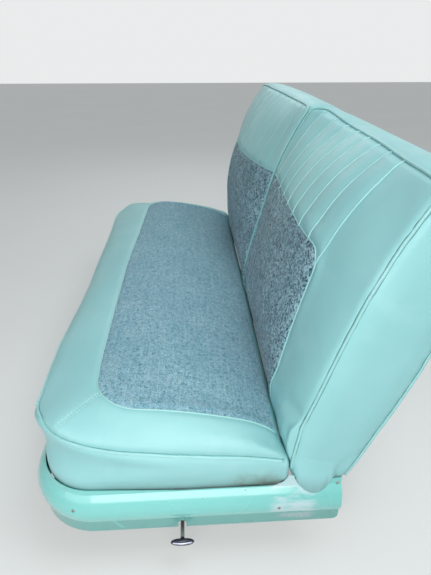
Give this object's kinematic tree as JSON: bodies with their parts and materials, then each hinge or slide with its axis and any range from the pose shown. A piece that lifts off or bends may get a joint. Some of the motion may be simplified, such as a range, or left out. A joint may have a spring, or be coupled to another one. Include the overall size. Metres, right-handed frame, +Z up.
{
  "type": "split bench seat of a 1950s car",
  "caption": "Front bench seat of a 1950s two-door car on sliding floor rails, with a long cushion and split backrests that tip forward.",
  "frame": {"origin": "centre of the four floor bolt holes, at floor level", "axes": "+X across the seat to the side with the adjuster grip, -Y is the way the seat faces, +Z up"},
  "size_m": [1.4987, 0.8145, 0.8113],
  "materials": {
    "seat_vinyl": "satin",
    "back_board": "satin",
    "skirt_paint": "gloss",
    "frame_paint": "satin",
    "bare_steel": "worn",
    "stop_rubber": "matt",
    "grip_plastic": "gloss",
    "insert_fabric": "woven"
  },
  "bodies": {
    "floor_track": {"floor_rail_left": "bare_steel", "floor_rail_right": "bare_steel", "rail_foot_front_left": "frame_paint", "rail_foot_front_right": "frame_paint", "rail_foot_rear_left": "frame_paint", "rail_foot_rear_right": "frame_paint"},
    "seat": {"seat_cushion": "seat_vinyl", "side_skirt_left": "skirt_paint", "side_skirt_right": "skirt_paint", "front_valance": "skirt_paint", "frame_side_left": "frame_paint", "frame_side_right": "frame_paint", "frame_front_rail": "frame_paint", "frame_rear_rail": "frame_paint", "zigzag_springs": "bare_steel", "hinge_arm_inner_left": "frame_paint", "hinge_arm_inner_right": "frame_paint", "hinge_arm_outer_left": "frame_paint", "hinge_arm_outer_right": "frame_paint", "stop_leaf_left": "frame_paint", "stop_leaf_right": "frame_paint", "stop_buffer_left": "stop_rubber", "stop_buffer_right": "stop_rubber", "slide_rail_left": "bare_steel", "slide_rail_right": "bare_steel", "adjuster_rod": "bare_steel", "adjuster_grip": "grip_plastic", "latch_left": "bare_steel", "latch_right": "bare_steel"},
    "backrest_left": {"backrest_pad_left": "seat_vinyl", "back_board_left": "back_board", "pivot_rod_left": "bare_steel"},
    "backrest_right": {"backrest_pad_right": "seat_vinyl", "back_board_right": "back_board", "pivot_rod_right": "bare_steel"}
  },
  "joints": [
    {"name": "seat_slide", "type": "slide", "parent": "floor_track", "child": "seat", "axis": [0, 1, 0], "range_m": [-0.05, 0.05]},
    {"name": "backrest_left_fold", "type": "hinge", "parent": "seat", "child": "backrest_left", "pos_m": [0.36, 0.262, 0.26], "axis": [1, 0, 0], "range_deg": [0, 50]},
    {"name": "backrest_right_fold", "type": "hinge", "parent": "seat", "child": "backrest_right", "pos_m": [-0.36, 0.262, 0.26], "axis": [1, 0, 0], "range_deg": [0, 50]}
  ]
}
